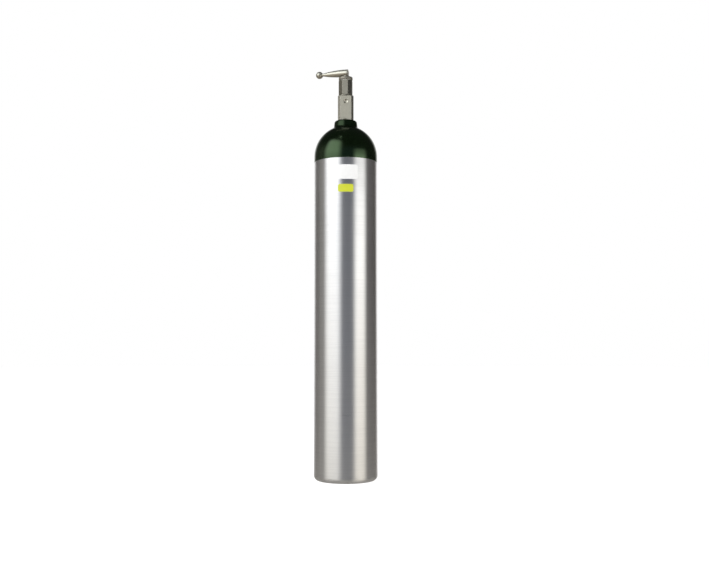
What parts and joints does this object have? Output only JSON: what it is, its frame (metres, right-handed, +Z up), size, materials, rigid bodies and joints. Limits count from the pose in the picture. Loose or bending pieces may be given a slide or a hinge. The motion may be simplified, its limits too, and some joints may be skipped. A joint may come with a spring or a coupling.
{
  "type": "medical gas cylinder",
  "caption": "Slim upright gas cylinder: bare metal barrel, domed green shoulder and neck, and a square post valve that a ball-ended toggle handle screws open and shut.",
  "frame": {"origin": "centre of the base, on the surface that the cylinder stands on", "axes": "+Z up along the cylinder's axis; +Y out of the valve's gas outlet; -Y out of the pit for a yoke's clamp screw"},
  "size_m": [0.1148, 0.1148, 0.7478],
  "materials": {
    "brushed_aluminium": "bare, brushed round the barrel",
    "green_enamel": "gloss enamel",
    "white_film": "printed film",
    "yellow_film": "printed film",
    "chrome_plate": "satin chrome plate on brass",
    "polished_chrome": "polished chrome plate",
    "brass": "machined",
    "copper": "annealed copper",
    "sintered_bronze": "porous sintered bronze",
    "steel": "plated steel",
    "rubber": "moulded nitrile",
    "white_plastic": "machined, waxy"
  },
  "bodies": {
    "cylinder": {"cylinder_shell": "brushed_aluminium", "shoulder_paint": "green_enamel", "white_sticker": "white_film", "yellow_sticker": "yellow_film", "valve_body": "chrome_plate", "inlet_filter": "sintered_bronze", "neck_o_ring": "rubber", "bonnet_nut": "chrome_plate", "bonnet_gasket": "copper", "rupture_disc": "copper", "relief_gasket": "white_plastic", "relief_plug": "brass"},
    "handle": {"toggle_handle": "polished_chrome", "handle_screw": "steel", "spindle": "brass", "lower_spindle_o_ring": "rubber", "upper_spindle_o_ring": "rubber", "slip_washer": "white_plastic", "thrust_washer": "white_plastic"},
    "plug": {"valve_plug": "brass", "seat_disc": "white_plastic"}
  },
  "joints": [
    {"name": "handle_turn", "type": "hinge", "parent": "cylinder", "child": "handle", "pos_m": [0, 0, 0.7278], "axis": [0, 0, 1], "range_deg": [0, 450]},
    {"name": "plug_travel", "type": "slide", "parent": "handle", "child": "plug", "axis": [0, 0, 1], "range_m": [0, 0.0019]}
  ],
  "couplings": [
    {"joint": "plug_travel", "follows": "handle_turn", "m_per_rad": 0.00023873}
  ]
}
